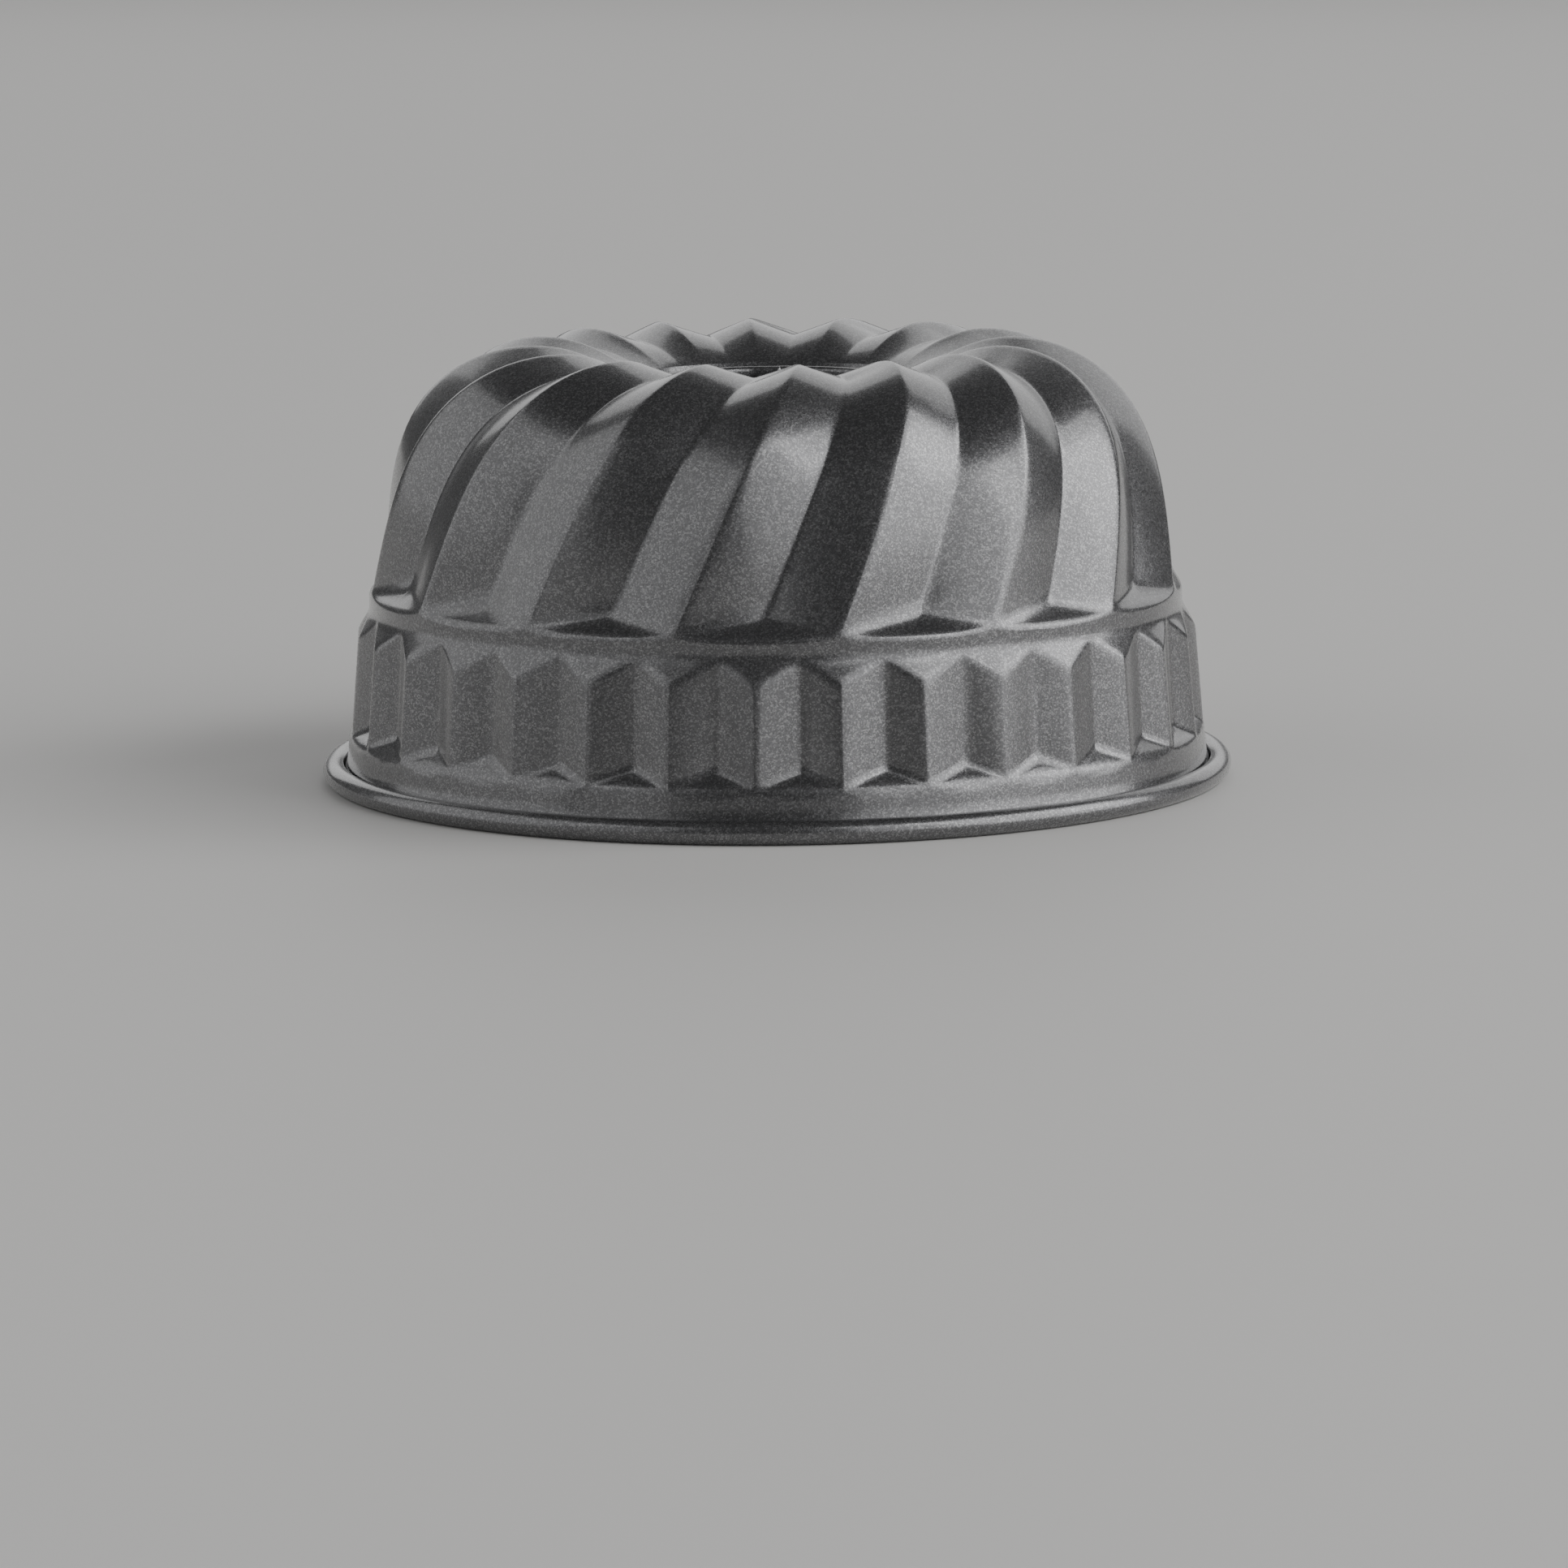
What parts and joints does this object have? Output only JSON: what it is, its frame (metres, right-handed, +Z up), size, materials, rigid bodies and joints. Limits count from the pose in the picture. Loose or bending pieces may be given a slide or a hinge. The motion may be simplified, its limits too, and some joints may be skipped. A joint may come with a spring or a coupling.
{
  "type": "bundt pan",
  "caption": "Dark non-stick fluted ring mould with swirled flutes over a band of straight flutes, a curled rim and a separate centre tube, shown dome up.",
  "frame": {"origin": "centre of the mouth plane, which the curled rim rests on", "axes": "+Z up along the pan's axis through the dome; -Y looks along the start of a swirled valley at the ledge"},
  "size_m": [0.236, 0.236, 0.113],
  "materials": {
    "non_stick_coating": "satin dark grey non-stick coating with a fine metallic fleck",
    "tube_coating": "satin dark grey non-stick coating with a fine metallic fleck",
    "rim_wire_steel": "drawn plain steel"
  },
  "bodies": {
    "root": {"body_shell": "non_stick_coating", "centre_tube": "tube_coating", "rim_wire": "rim_wire_steel"}
  },
  "joints": []
}
